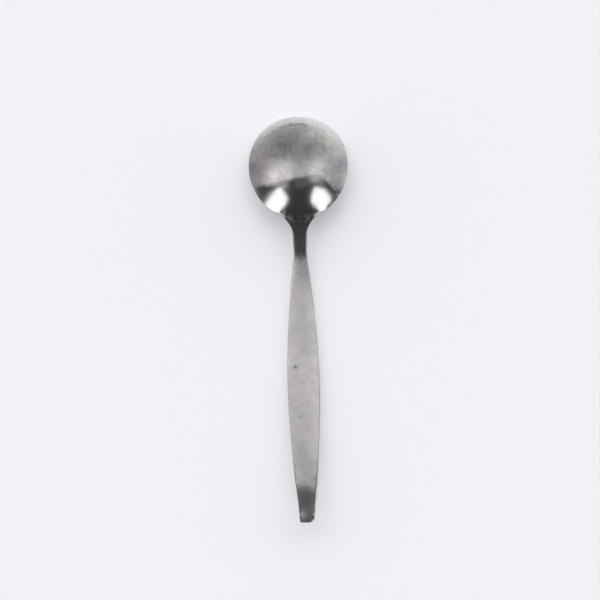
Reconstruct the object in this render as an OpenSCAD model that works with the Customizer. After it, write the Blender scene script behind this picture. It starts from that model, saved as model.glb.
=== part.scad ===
// Soup spoon with a round bowl, lying face down, so that its back shows.
// X runs across, Y runs along with the bowl at +Y, Z is up and the table is at zero.
// A place along the spoon is called s and is measured from the bowl's front edge.

/* [Overall] */
// Length seen from above, from the bowl's front edge to the end of the handle
spoon_len = 175; // [165:1:195]
// Rounding of the upper edges of the bowl's rim
rim_edge_r = 0.35; // [0.2:0.05:0.45]
// Rounding of the upper edges of the neck and the handle
handle_edge_r = 0.55; // [0.3:0.05:0.7]
// Rounding of all lower edges
lower_edge_r = 0.25; // [0.15:0.05:0.35]

/* [Bowl] */
// Radius of the round front of the bowl, which is half its width
bowl_r = 21.3; // [19:0.1:24]
// Length of the bowl behind its widest line
bowl_rear_len = 22.9; // [21:0.1:25]
// Depth of the hollow below the plane of the rim
bowl_depth = 10; // [8:0.1:12]
// Thickness of the metal in the middle of the bowl
bowl_wall = 1.4; // [1.1:0.05:2]
// Thickness of the metal at the rim's edge
rim_t = 0.9; // [0.75:0.05:1.2]
// Width of the flat ground land on the rim
rim_land = 1.3; // [0.9:0.05:1.8]
// Angle between the plane of the rim and the table
rim_tilt = 8; // [6:0.5:10]
// Radius of the dome's section, as a share of its half width
dome_arc_share = 1.8; // [1.4:0.1:3]

/* [Heel] */
// Angle from the long axis at which the heel's fillet leaves the bowl's outline
heel_angle = 26; // [22:1:30]
// Thickness on the axis where the bowl ends
heel_t = 2.8; // [2.5:0.1:3.4]
// Angle at which the heel grows thinner towards the neck
heel_taper = 10; // [6:1:16]
// Thickness to which the rim grows on its way into the neck
heel_edge_t = 2.1; // [1.6:0.05:2.3]
// Length over which it grows
heel_edge_len = 18; // [12:0.5:20]
// Length of the bend of the rim's plane inside the bowl
heel_bend_len = 6.2; // [4:0.2:8]
// Half width of the heel's ridge where it rises out of the dome
heel_ridge_w = 14; // [11:0.5:17]
// Length of the heel's ridge inside the bowl
heel_ridge_len = 10; // [7:0.5:13]
// Depth to which the edge of the ridge sinks below the dome
heel_fade = 2.5; // [1.5:0.1:4]
// Length over which it rises again at the neck
heel_fade_len = 5; // [3:0.5:7]
// Size of the soft blend between the ridge and the dome
heel_blend = 1; // [0.5:0.1:1.6]

/* [Neck] */
// Length of the neck
neck_len = 17.8; // [15:0.2:22]
// Width of the neck where the heel's fillets end
neck_w = 6; // [5:0.1:7.4]
// Thickness of the neck behind its bend
neck_t = 2.5; // [2.3:0.1:3.2]
// Length of the bend from the rim's plane into the neck
neck_bend_len = 6; // [4.5:0.1:7.5]
// Height of the neck's underside behind the bend
neck_h = 3.9; // [3.2:0.1:4.6]
// Angle at which the neck comes down behind the bend
neck_angle = 15; // [10:1:20]
// Height of the underside where the handle begins
handle_start_h = 1.4; // [1:0.05:1.8]
// Angle at which the underside comes down where the handle begins
handle_start_angle = 8; // [5:0.1:10]

/* [Handle] */
// Width where the handle begins
handle_start_w = 5.8; // [5:0.1:7.2]
// Angle at which each side of the handle widens at its beginning
handle_flare = 7.5; // [4:0.5:10]
// Greatest width of the handle
handle_w = 13.7; // [10.5:0.1:15.5]
// Thickness of the handle
handle_t = 2.2; // [1.8:0.05:2.8]
// Rise of the middle of the handle's back above its sides
handle_crown = 0.35; // [0.1:0.05:0.5]
// Length from the neck to the line on which the handle rests
rest_len = 20; // [16:0.5:26]
// Length from the neck to the handle's widest place
widest_len = 54; // [44:1:64]
// Height of the underside where the handle's end begins
end_start_h = 3.2; // [2:0.1:4.4]
// Angle at which the underside rises there
end_start_angle = 4.9; // [3:0.1:7]

/* [Handle end] */
// Length of the end
end_len = 22; // [18:0.5:26]
// Width where the end begins
end_start_w = 10.2; // [8.5:0.1:12]
// Angle at which each side narrows there
end_start_taper = 4; // [2:0.1:7]
// Width at the tip
end_w = 6.4; // [5:0.1:8]
// Angle at which each side narrows at the tip
end_taper = 0.6; // [0:0.1:4]
// Thickness at the tip
end_t = 1.8; // [1.4:0.05:2.2]
// Height of the tip's underside above the table
end_h = 8.8; // [6.5:0.1:10.5]
// Angle at which the tip rises
end_angle = 17; // [12:1:22]
// Length of the straight stretch at the tip
end_straight_len = 11; // [8:0.5:14]
// Radius of the tip's sharper corner, on the side of -X
corner_r = 0.8; // [0.5:0.1:1.4]
// Radius of the tip's worn corner, on the side of +X
worn_corner_r = 2.2; // [1.2:0.1:2.6]
// Rounding of the tip's upper end edge
end_edge_r = 0.45; // [0.2:0.05:0.6]

/* [Hidden] */
satin_steel = "#b3b0af";
polished_steel = "#8f9093";

// Places along the spoon
neck_s = bowl_r + bowl_rear_len;
bend_s = neck_s + neck_bend_len;
handle_s = neck_s + neck_len;
rest_s = handle_s + rest_len;
widest_s = handle_s + widest_len;
end_s = spoon_len - end_len;
straight_s = spoon_len - end_straight_len;
ridge_s = neck_s - heel_ridge_len;
heel_bend_s = neck_s - heel_bend_len;

// The heel's fillet, tangent to the bowl's outline and to the side of the neck
leave_x = bowl_r * sin(heel_angle);
leave_s = bowl_r + bowl_rear_len * cos(heel_angle);
leave_turn = atan2(bowl_r * cos(heel_angle), bowl_rear_len * sin(heel_angle));
fillet_r = (leave_x - neck_w / 2) / (1 - cos(leave_turn));
fillet_x = neck_w / 2 + fillet_r;
fillet_s = leave_s + fillet_r * sin(leave_turn);
cut_turn = asin((fillet_s - neck_s) / fillet_r);

// The dome and the hollow
dome_t = bowl_depth + bowl_wall;
hollow_r = bowl_r - rim_land;
hollow_rear_len = bowl_rear_len - rim_land;
// Half width of the ridge on the neck and handle, as a share of their own half width
ridge_share = 1.45;
// Slowly thinning neck
neck_thinning = (neck_t - handle_t) / (rest_s - bend_s);

// Steps of the surfaces
front_steps = 18;
rear_steps = 13;
fillet_steps = 6;
across_steps = 12;
arc_steps = 3;
dome_steps = 11;
land_steps = 1;
hollow_steps = 9;
neck_steps = 14;
handle_steps = 34;
end_steps = 10;
corner_steps = 6;

function between(a, b, u) = a + (b - a) * u;

// Cubic between two stations, each [place, value, slope]
function cubic(a, b, s) =
    let (span = b[0] - a[0], u = (s - a[0]) / span, v = 1 - u)
    a[1] * v * v * (1 + 2 * u) + b[1] * u * u * (1 + 2 * v) + span * u * v * (a[2] * v - b[2] * u);

// Smooth curve through a list of stations
function along(stations, s, i = 0) =
    i >= len(stations) - 2 || s < stations[i + 1][0]
        ? cubic(stations[i], stations[i + 1], s)
        : along(stations, s, i + 1);

// The larger of two heights, with a soft blend where they are close
function soft_max(a, b, k) = max(a, b) + pow(max(k - abs(a - b), 0), 2) / (4 * k);

// Eased step from 0 to 1
function eased(u) = let (c = min(max(u, 0), 1)) c * c * (3 - 2 * c);

// Half width of the neck and the handle
function half_w(s) =
    s < fillet_s
        ? fillet_x - sqrt(pow(fillet_r, 2) - pow(fillet_s - s, 2))
        : along([
            [fillet_s, neck_w / 2, 0],
            [handle_s, handle_start_w / 2, tan(handle_flare)],
            [widest_s, handle_w / 2, 0],
            [end_s, end_start_w / 2, -tan(end_start_taper)],
            [spoon_len, end_w / 2, -tan(end_taper)]], s);

// Distance by which a rounding of radius r at the tip's end draws a surface in
function end_inset(s, r) = r - sqrt(max(pow(r, 2) - pow(max(s - spoon_len + r, 0), 2), 0));

// Height of the underside: the plane of the rim, then the neck and the handle
function rim_z(s) = (s - lower_edge_r) * tan(rim_tilt);
function under_z(s) =
    s < heel_bend_s
        ? rim_z(s)
        : along([
            [heel_bend_s, rim_z(heel_bend_s), tan(rim_tilt)],
            [bend_s, neck_h, -tan(neck_angle)],
            [handle_s, handle_start_h, -tan(handle_start_angle)],
            [rest_s, 0, 0],
            [end_s, end_start_h, tan(end_start_angle)],
            [straight_s, end_h - end_straight_len * tan(end_angle), tan(end_angle)],
            [spoon_len, end_h, tan(end_angle)]], s);

// Thickness on the axis, along the heel and then the neck and the handle
function axis_t(s) =
    s < neck_s
        ? heel_t + (neck_s - s) * tan(heel_taper)
        : along([
            [neck_s, heel_t, -tan(heel_taper)],
            [bend_s, neck_t, -neck_thinning],
            [rest_s, handle_t, 0],
            [end_s, handle_t, 0],
            [spoon_len, end_t, 0]], s);

// Thickness at the sides
function side_t(s) =
    s < bend_s
        ? between(rim_t, heel_edge_t, eased((s - bend_s) / heel_edge_len + 1))
        : along([
            [bend_s, heel_edge_t, 0],
            [rest_s, handle_t - handle_crown, 0],
            [end_s, handle_t - handle_crown, 0],
            [spoon_len, end_t - handle_crown, 0]], s);

// Half width of the ridge
function ridge_w(s) =
    s < ridge_s
        ? heel_ridge_w
        : s < fillet_s
            ? cubic([ridge_s, heel_ridge_w, 0], [fillet_s, ridge_share * neck_w / 2, 0], s)
            : ridge_share * half_w(s);

// Section of the dome and the hollow: 1 in the middle and 0 at the outline
function arch(q) =
    let (low = sqrt(pow(dome_arc_share, 2) - 1))
    (sqrt(max(pow(dome_arc_share, 2) - q, 0)) - low) / (dome_arc_share - low);

// Square of the distance from the bowl's middle, which is 1 on the outline of that radius and rear length
function reach(x, s, r, rear) = pow(x / r, 2) + pow((s - bowl_r) / (s < bowl_r ? r : rear), 2);

// Thickness that the dome and the ridge would each give
function dome(x, s) = between(side_t(s), dome_t, arch(reach(x, s, bowl_r, bowl_rear_len)));
function ridge(x, s) =
    let (
        u = min(abs(x) / ridge_w(s), 1),
        growth = eased((s - bowl_r) / (ridge_s - bowl_r)),
        foot = side_t(s) - heel_fade * (1 - eased((s - heel_bend_s) / heel_fade_len)))
    between(foot, axis_t(s), pow(1 - u * u, 2) * growth);

// Heights of the back, the lower edge and the face of the spoon
function back_z(x, s) = under_z(s) + soft_max(dome(x, s), ridge(x, s), heel_blend) - end_inset(s, end_edge_r);
function low_z(s) = under_z(s) + end_inset(s, lower_edge_r);
function face_z(x, s) = low_z(s) + bowl_depth * max(arch(reach(x, s, hollow_r, hollow_rear_len)), 0);

// Rounding of the upper edge, which grows from the rim to the neck
function edge_r(s) = rim_edge_r + (handle_edge_r - rim_edge_r) * eased((s - neck_s) / (fillet_s - neck_s));

// Place in the part's frame of a point x across and s along, at height z
function place(x, s, z) = [x, spoon_len / 2 - s, z];

// Tangent length of the rounding at an edge where the back falls outwards by the angle fall
function edge_cut(r, fall) = r / tan(45 + fall / 2);

// Fall of the back at the outline point p with outward direction n
function edge_fall(p, n) =
    let (r = edge_r(p[1]), q = p - r * n)
    atan((back_z(q[0], q[1]) - back_z(p[0], p[1])) / r);

// Rounded upper edge, from the back to the side
function upper_edge(p, n) =
    let (r = edge_r(p[1]), fall = edge_fall(p, n), low = back_z(p[0], p[1]) - edge_cut(r, fall))
    [for (i = [0 : arc_steps])
        let (a = (90 - fall) * (1 - i / arc_steps), q = p - r * (1 - cos(a)) * n)
        place(q[0], q[1], low + r * sin(a))];

// Rounded lower edge, from the side to the face
function lower_edge(p, n) =
    [for (i = [0 : arc_steps])
        let (a = 90 * i / arc_steps, q = p - lower_edge_r * (1 - cos(a)) * n)
        place(q[0], q[1], low_z(q[1]) + lower_edge_r * (1 - sin(a)))];

// Where a cross section at s begins and ends: inset points of the back and of the face
function back_inset(x, s, side) =
    let (n = [side, 0], p = [x, s], r = edge_r(s), fall = edge_fall(p, n))
    x - side * r * (1 - sin(fall));

// Closed outline of a cross section at s, from its left half width to its right one, all in one plane
function section(s, left, right) =
    let (
        back_left = back_inset(-left, s, -1),
        back_right = back_inset(right, s, 1),
        face_left = -left + lower_edge_r,
        face_right = right - lower_edge_r)
    concat(
        [for (i = [0 : across_steps - 1])
            let (x = between(back_left, back_right, i / across_steps)) place(x, s, back_z(x, s))],
        upper_edge([right, s], [1, 0]),
        lower_edge([right, s], [1, 0]),
        [for (i = [1 : across_steps - 1])
            let (x = between(face_right, face_left, i / across_steps)) place(x, s, face_z(x, s))],
        [for (i = [arc_steps : -1 : 0]) lower_edge([-left, s], [-1, 0])[i]],
        [for (i = [arc_steps : -1 : 1]) upper_edge([-left, s], [-1, 0])[i]]);

// Two triangles of the patch between two columns of points
function patch(a, b, c, d) = [[a, b, c], [a, c, d]];

// Solid through cross sections that all have the same number of points
module swept(rings) {
    n = len(rings[0]);
    last = len(rings) - 1;
    sides = [for (k = [0 : last - 1], i = [0 : n - 1])
        let (j = (i + 1) % n)
        each patch(k * n + i, (k + 1) * n + i, (k + 1) * n + j, k * n + j)];
    ends = [[for (i = [0 : n - 1]) i], [for (i = [n - 1 : -1 : 0]) last * n + i]];
    polyhedron([for (ring = rings) each ring], concat(sides, ends), convexity = 6);
}

// Cross sections at evenly spaced places
function sections(from, to, steps) =
    [for (k = [0 : steps])
        let (s = between(from, to, k / steps)) section(s, half_w(s), half_w(s))];

// Outline of the right half of the bowl, each point with its outward direction
function bowl_outline() =
    concat(
        [for (i = [0 : front_steps - 1])
            let (a = 90 * i / front_steps)
            [[bowl_r * sin(a), bowl_r - bowl_r * cos(a)], [sin(a), -cos(a)]]],
        [for (i = [0 : rear_steps - 1])
            let (
                a = between(90, heel_angle, i / rear_steps),
                turn = atan2(bowl_r * cos(a), bowl_rear_len * sin(a)))
            [[bowl_r * sin(a), bowl_r + bowl_rear_len * cos(a)], [cos(turn), sin(turn)]]],
        [for (i = [0 : fillet_steps - 1])
            let (a = between(leave_turn, cut_turn, i / fillet_steps))
            [[fillet_x - fillet_r * cos(a), fillet_s - fillet_r * sin(a)], [cos(a), sin(a)]]]);

function mirrored(v) = [-v[0], v[1]];

// Column of points from the middle of the dome, over the edge, to the middle of the hollow
function bowl_column(back_edge, rim, face_edge) =
    let (
        from = [back_edge[0], spoon_len / 2 - back_edge[1]],
        to = [face_edge[0], spoon_len / 2 - face_edge[1]],
        middle = [0, bowl_r],
        out = to - middle,
        land = middle + out / sqrt(reach(to[0], to[1], hollow_r, hollow_rear_len)))
    concat(
        [for (i = [1 : dome_steps - 1])
            let (p = between(middle, from, i / dome_steps)) place(p[0], p[1], back_z(p[0], p[1]))],
        rim,
        [for (i = [1 : land_steps])
            let (p = between(to, land, i / land_steps)) place(p[0], p[1], face_z(p[0], p[1]))],
        [for (i = [1 : hollow_steps - 1])
            let (p = between(land, middle, i / hollow_steps)) place(p[0], p[1], face_z(p[0], p[1]))]);

// Column through an outline point with its outward direction
function edge_column(p, n) =
    let (up = upper_edge(p, n), low = lower_edge(p, n))
    bowl_column(up[0], concat(up, low), low[arc_steps]);

// Column through the flat cut between the bowl and the neck
function cut_column(i) =
    let (
        w = half_w(neck_s),
        back_x = between(back_inset(w, neck_s, 1), back_inset(-w, neck_s, -1), i / across_steps),
        face_x = between(w - lower_edge_r, lower_edge_r - w, i / across_steps),
        back = place(back_x, neck_s, back_z(back_x, neck_s)),
        face = place(face_x, neck_s, face_z(face_x, neck_s)),
        n = 2 * arc_steps + 1)
    bowl_column(back, [for (k = [0 : n]) between(back, face, k / n)], face);

module bowl() {
    half = bowl_outline();
    w = half_w(neck_s);
    columns = concat(
        [for (e = half) edge_column(e[0], e[1])],
        [edge_column([w, neck_s], [1, 0])],
        [for (i = [1 : across_steps - 1]) cut_column(i)],
        [edge_column([-w, neck_s], [-1, 0])],
        [for (i = [len(half) - 1 : -1 : 1]) edge_column(mirrored(half[i][0]), mirrored(half[i][1]))]);
    n = len(columns[0]);
    count = len(columns);
    top = n * count;
    bottom = top + 1;
    middles = [place(0, bowl_r, back_z(0, bowl_r)), place(0, bowl_r, face_z(0, bowl_r))];
    faces = [for (j = [0 : count - 1])
        let (a = j * n, b = ((j + 1) % count) * n)
        each concat(
            [[top, b, a]],
            [for (i = [0 : n - 2]) each patch(a + i, b + i, b + i + 1, a + i + 1)],
            [[bottom, a + n - 1, b + n - 1]])];
    color(satin_steel)
    polyhedron(concat([for (c = columns) each c], middles), faces, convexity = 6);
}

module neck() {
    color(polished_steel)
    swept(sections(neck_s, handle_s, neck_steps));
}

module handle() {
    color(satin_steel)
    swept(sections(handle_s, end_s, handle_steps));
}

// The tip's two corners are rounded, and so are the upper and lower edges of its end
module handle_end() {
    corner_s = spoon_len - worn_corner_r;
    places = concat(
        [for (k = [0 : end_steps - 1]) between(end_s, corner_s, k / end_steps)],
        [for (k = [0 : corner_steps]) corner_s + worn_corner_r * sin(90 * k / corner_steps)]);
    color(polished_steel)
    swept([for (s = places)
        section(s, half_w(s) - end_inset(s, corner_r), half_w(s) - end_inset(s, worn_corner_r))]);
}

bowl();
neck();
handle();
handle_end();
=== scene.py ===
import math
import bpy
import numpy as np
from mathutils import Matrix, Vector


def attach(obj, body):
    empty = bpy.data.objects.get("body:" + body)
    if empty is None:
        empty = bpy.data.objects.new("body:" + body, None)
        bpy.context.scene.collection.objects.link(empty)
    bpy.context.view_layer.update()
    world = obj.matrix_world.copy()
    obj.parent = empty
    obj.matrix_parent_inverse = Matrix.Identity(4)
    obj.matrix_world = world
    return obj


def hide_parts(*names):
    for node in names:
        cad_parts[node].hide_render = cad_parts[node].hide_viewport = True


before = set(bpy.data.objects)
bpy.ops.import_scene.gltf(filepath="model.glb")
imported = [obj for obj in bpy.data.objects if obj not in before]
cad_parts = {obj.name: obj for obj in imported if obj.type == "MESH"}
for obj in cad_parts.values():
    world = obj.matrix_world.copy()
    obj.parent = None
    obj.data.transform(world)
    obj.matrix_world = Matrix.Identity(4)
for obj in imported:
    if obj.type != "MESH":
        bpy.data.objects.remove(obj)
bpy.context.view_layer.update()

# A round-bowled soup spoon, lying face down so that its back shows.
# X runs across, Y along with the bowl at +Y, Z up. A place along the spoon is s, in mm from
# the bowl's front edge. The spoon's settings are in millimetres and degrees.

mm = 0.001
scene = bpy.context.scene
scene.view_settings.view_transform = "Standard"


def linearColour(hexCode):
    # sRGB hex to the linear values that nodes take
    parts = [int(hexCode[i:i + 2], 16) / 255 for i in (1, 3, 5)]
    return tuple(c / 12.92 if c <= 0.04045 else ((c + 0.055) / 1.055) ** 2.4 for c in parts) + (1.0,)


def slope(angle):
    return math.tan(math.radians(angle))


# Shape of the spoon

overall = {
    "length": 175,
    "rimEdge": 0.35,        # rounding of the rim's upper edge
    "handleEdge": 0.55,     # rounding of the neck's and handle's upper edges
    "lowerEdge": 0.25,
}

bowl = {
    "radius": 21.3,
    "rearLength": 22.9,     # behind the widest line
    "depth": 10,
    "wall": 1.4,
    "rimThickness": 0.9,
    "rimLand": 1.3,         # flat ground land on the rim
    "rimTilt": 8,
    "arcShare": 1.8,        # radius of the dome's section over its half width
    "frontColumns": 56,     # numbers of faces in the mesh, from here down
    "rearColumns": 44,
    "filletColumns": 20,
    "backRows": 46,
    "landRows": 2,
    "hollowRows": 34,
}

heel = {
    "angle": 26,            # where the fillet leaves the bowl's outline
    "thickness": 2.8,       # along the middle, at the cut to the neck
    "taper": 10,
    "edgeThickness": 2.1,   # the rim grows to this on its way into the neck
    "edgeLength": 18,
    "bendLength": 6.2,      # bend of the rim's plane inside the bowl
    "ridgeWidth": 14,       # the ridge that runs from the dome into the neck, from middle to side
    "ridgeLength": 10,
    "crownShare": 1.45,     # the crown of neck and handle ends beyond their sides, at this share
    "fade": 2.5,            # how far the ridge's foot sinks into the dome
    "fadeLength": 5,
    "blend": 1,             # rounding where dome and ridge meet
}

neck = {
    "length": 17.8,
    "width": 6,
    "thickness": 2.5,
    "bendLength": 6,
    "height": 3.9,          # of the underside after the bend, and how steeply it falls there
    "angle": 15,
    "rings": 46,            # cross sections in the mesh
}

handle = {
    "startHeight": 1.4,     # heights and angles are those of the underside
    "startAngle": 8,
    "startWidth": 5.8,
    "flare": 7.5,           # angle at which each side opens
    "width": 13.7,
    "thickness": 2.2,
    "crown": 0.35,
    "restLength": 20,       # from the neck to the line that touches the table
    "widestLength": 54,
    "endHeight": 3.2,
    "endAngle": 4.9,
    "rings": 150,
}

handleEnd = {
    "length": 22,
    "startWidth": 10.2,
    "startTaper": 4,
    "width": 6.4,
    "taper": 0.6,
    "thickness": 1.8,
    "height": 8.8,          # of the underside at the tip
    "angle": 17,
    "straight": 11,         # length of the straight stretch at the tip
    "sharpCorner": 0.8,
    "wornCorner": 2.2,
    "endEdge": 0.45,        # rounding of the tip's upper edge
    "rings": 40,
    "cornerRings": 14,
}

acrossSteps = 24            # faces across the back and across the face of a section
arcSteps = 5                # faces round each edge

neckS = bowl["radius"] + bowl["rearLength"]
bendS = neckS + neck["bendLength"]
handleS = neckS + neck["length"]
restS = handleS + handle["restLength"]
widestS = handleS + handle["widestLength"]
endS = overall["length"] - handleEnd["length"]
straightS = overall["length"] - handleEnd["straight"]
ridgeS = neckS - heel["ridgeLength"]

# The heel's fillet, tangent to the bowl's outline and to the neck's side
heelTurn = math.radians(heel["angle"])
leaveX = bowl["radius"] * math.sin(heelTurn)
leaveS = bowl["radius"] + bowl["rearLength"] * math.cos(heelTurn)
leaveTurn = math.atan2(bowl["radius"] * math.cos(heelTurn), bowl["rearLength"] * math.sin(heelTurn))
filletR = (leaveX - neck["width"] / 2) / (1 - math.cos(leaveTurn))
filletX = neck["width"] / 2 + filletR
filletS = leaveS + filletR * math.sin(leaveTurn)
cutTurn = math.asin((filletS - neckS) / filletR)


def cubic(a, b, s):
    # smooth curve between two stations, each (place, value, slope); u is the share of the way gone
    span = b[0] - a[0]
    u = (s - a[0]) / span
    v = 1 - u
    return a[1] * v * v * (1 + 2 * u) + b[1] * u * u * (1 + 2 * v) + span * u * v * (a[2] * v - b[2] * u)


def along(stations, s):
    # smooth curve through several stations
    parts = [cubic(stations[i], stations[i + 1], s) for i in range(len(stations) - 1)]
    inside = [s < stations[i + 1][0] for i in range(len(stations) - 2)]
    return np.select(inside, parts[:-1], parts[-1])


def eased(value):
    # 0 below 0 and 1 above 1, with a soft start and end
    share = np.clip(value, 0, 1)
    return share * share * (3 - 2 * share)


def halfWidth(s):
    fillet = filletX - np.sqrt(np.maximum(filletR ** 2 - (filletS - s) ** 2, 0))
    side = along([
        (filletS, neck["width"] / 2, 0),
        (handleS, handle["startWidth"] / 2, slope(handle["flare"])),
        (widestS, handle["width"] / 2, 0),
        (endS, handleEnd["startWidth"] / 2, -slope(handleEnd["startTaper"])),
        (overall["length"], handleEnd["width"] / 2, -slope(handleEnd["taper"]))], s)
    return np.where(s < filletS, fillet, side)


def rimHeight(s):
    return (s - overall["lowerEdge"]) * slope(bowl["rimTilt"])


def underHeight(s):
    # underside: the plane of the rim, then the neck's bend, the handle and the rising tip
    start = neckS - heel["bendLength"]
    tipSlope = slope(handleEnd["angle"])
    rest = along([
        (start, rimHeight(start), slope(bowl["rimTilt"])),
        (bendS, neck["height"], -slope(neck["angle"])),
        (handleS, handle["startHeight"], -slope(handle["startAngle"])),
        (restS, 0, 0),
        (endS, handle["endHeight"], slope(handle["endAngle"])),
        (straightS, handleEnd["height"] - handleEnd["straight"] * tipSlope, tipSlope),
        (overall["length"], handleEnd["height"], tipSlope)], s)
    return np.where(s < start, rimHeight(s), rest)


def axisThickness(s):
    # thickness along the middle
    inside = heel["thickness"] + (neckS - s) * slope(heel["taper"])
    thinning = (neck["thickness"] - handle["thickness"]) / (restS - bendS)
    rest = along([
        (neckS, heel["thickness"], -slope(heel["taper"])),
        (bendS, neck["thickness"], -thinning),
        (restS, handle["thickness"], 0),
        (endS, handle["thickness"], 0),
        (overall["length"], handleEnd["thickness"], 0)], s)
    return np.where(s < neckS, inside, rest)


def sideThickness(s):
    # thickness at the sides and at the rim
    growth = eased((s - bendS) / heel["edgeLength"] + 1)
    rim = bowl["rimThickness"] + (heel["edgeThickness"] - bowl["rimThickness"]) * growth
    rest = along([
        (bendS, heel["edgeThickness"], 0),
        (restS, handle["thickness"] - handle["crown"], 0),
        (endS, handle["thickness"] - handle["crown"], 0),
        (overall["length"], handleEnd["thickness"] - handle["crown"], 0)], s)
    return np.where(s < bendS, rim, rest)


def ridgeWidth(s):
    # width of the ridge and of the crown that goes on from it, from the middle to the side
    share = heel["crownShare"]
    narrow = cubic((ridgeS, heel["ridgeWidth"], 0), (filletS, share * neck["width"] / 2, 0), s)
    return np.select([s < ridgeS, s < filletS], [heel["ridgeWidth"] + 0 * s, narrow], share * halfWidth(s))


def arch(reached):
    # height of the dome's arc, 1 in the middle and 0 on the outline
    share = bowl["arcShare"]
    low = math.sqrt(share ** 2 - 1)
    return (np.sqrt(np.maximum(share ** 2 - reached, 0)) - low) / (share - low)


def reach(x, s, radius, rear):
    # 0 in the bowl's middle and 1 on the outline with this radius and length behind the middle
    return (x / radius) ** 2 + ((s - bowl["radius"]) / np.where(s < bowl["radius"], radius, rear)) ** 2


def backHeight(x, s):
    side = sideThickness(s)
    rise = bowl["depth"] + bowl["wall"] - side
    dome = side + rise * arch(reach(x, s, bowl["radius"], bowl["rearLength"]))
    u = np.minimum(np.abs(x) / ridgeWidth(s), 1)
    growth = eased((s - bowl["radius"]) / (ridgeS - bowl["radius"]))
    foot = side - heel["fade"] * (1 - eased((s - neckS + heel["bendLength"]) / heel["fadeLength"]))
    ridge = foot + (axisThickness(s) - foot) * (1 - u * u) ** 2 * growth
    soft = np.maximum(heel["blend"] - np.abs(dome - ridge), 0) ** 2 / (4 * heel["blend"])
    return underHeight(s) + np.maximum(dome, ridge) + soft


def faceHeight(x, s):
    radius = bowl["radius"] - bowl["rimLand"]
    rear = bowl["rearLength"] - bowl["rimLand"]
    return underHeight(s) + bowl["depth"] * np.maximum(arch(reach(x, s, radius, rear)), 0)


def endDrop(s, radius):
    # how far the rounding of the tip's end edge takes the surface down
    past = np.clip(s - (overall["length"] - radius), 0, radius)
    return radius - np.sqrt(radius * radius - past * past)


def edgeRadius(s):
    growth = eased((s - neckS) / (filletS - neckS))
    return overall["rimEdge"] + (overall["handleEdge"] - overall["rimEdge"]) * growth


def roundedEdge(place, outward):
    # points from the back, over the rounded upper edge, the side and the rounded lower edge to the face
    radius = edgeRadius(place[1])
    inner = place - radius * outward
    fall = np.arctan((backHeight(*inner) - backHeight(*place)) / radius)
    low = backHeight(*place) - radius / np.tan(math.radians(45) + fall / 2)
    points = []
    for i in range(arcSteps + 1):
        turn = (math.pi / 2 - fall) * (1 - i / arcSteps)
        x, s = place - radius * (1 - np.cos(turn)) * outward
        points.append((x, s, low + radius * np.sin(turn) - endDrop(s, handleEnd["endEdge"])))
    radius = overall["lowerEdge"]
    for i in range(arcSteps + 1):
        turn = math.pi / 2 * i / arcSteps
        x, s = place - radius * (1 - np.cos(turn)) * outward
        points.append((x, s, underHeight(s) + radius * (1 - np.sin(turn)) + endDrop(s, radius)))
    return np.array(points, dtype=float)


def section(s, left, right):
    # closed ring of a cross section, with the same number of points above and below
    rightEdge = roundedEdge(np.array([right, s]), np.array([1.0, 0.0]))
    leftEdge = roundedEdge(np.array([-left, s]), np.array([-1.0, 0.0]))
    x = np.linspace(leftEdge[0][0], rightEdge[0][0], acrossSteps + 1)[1:-1]
    back = np.stack([x, 0 * x + s, backHeight(x, s + 0 * x) - endDrop(s, handleEnd["endEdge"])], axis=1)
    x = np.linspace(rightEdge[-1][0], leftEdge[-1][0], acrossSteps + 1)[1:-1]
    face = np.stack([x, 0 * x + s, faceHeight(x, s + 0 * x) + endDrop(s, overall["lowerEdge"])], axis=1)
    return np.concatenate([back, rightEdge, face, leftEdge[::-1]])


def capPatch(ring):
    # ladder of faces that closes a section: its upper points against its lower ones
    upperCount = acrossSteps + 2 * arcSteps + 1
    rolled = np.roll(ring, arcSteps + 1, axis=0)
    return np.stack([rolled[:upperCount], rolled[upperCount:][::-1]])


def sweptPatches(rings):
    # skin through all the rings, and the caps of the first and the last one
    skin = np.stack([np.concatenate([ring, ring[:1]]) for ring in rings])
    return [skin], [capPatch(rings[0])[::-1], capPatch(rings[-1])]


def bowlOutline():
    # right half, from the front middle to the cut at the neck: points and outward directions
    radius, rearLength = bowl["radius"], bowl["rearLength"]
    turn = np.linspace(0, math.pi / 2, bowl["frontColumns"] + 1)[:-1]
    front = np.stack([
        radius * np.sin(turn), radius - radius * np.cos(turn),
        np.sin(turn), -np.cos(turn)], axis=1)
    turn = np.linspace(math.pi / 2, heelTurn, bowl["rearColumns"] + 1)[:-1]
    outward = np.arctan2(radius * np.cos(turn), rearLength * np.sin(turn))
    rear = np.stack([
        radius * np.sin(turn), radius + rearLength * np.cos(turn),
        np.cos(outward), np.sin(outward)], axis=1)
    turn = np.linspace(leaveTurn, cutTurn, bowl["filletColumns"] + 1)
    fillet = np.stack([
        filletX - filletR * np.cos(turn), filletS - filletR * np.sin(turn),
        np.cos(turn), np.sin(turn)], axis=1)
    fillet[-1, 2:] = (1, 0)
    return np.concatenate([front, rear, fillet])


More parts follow.
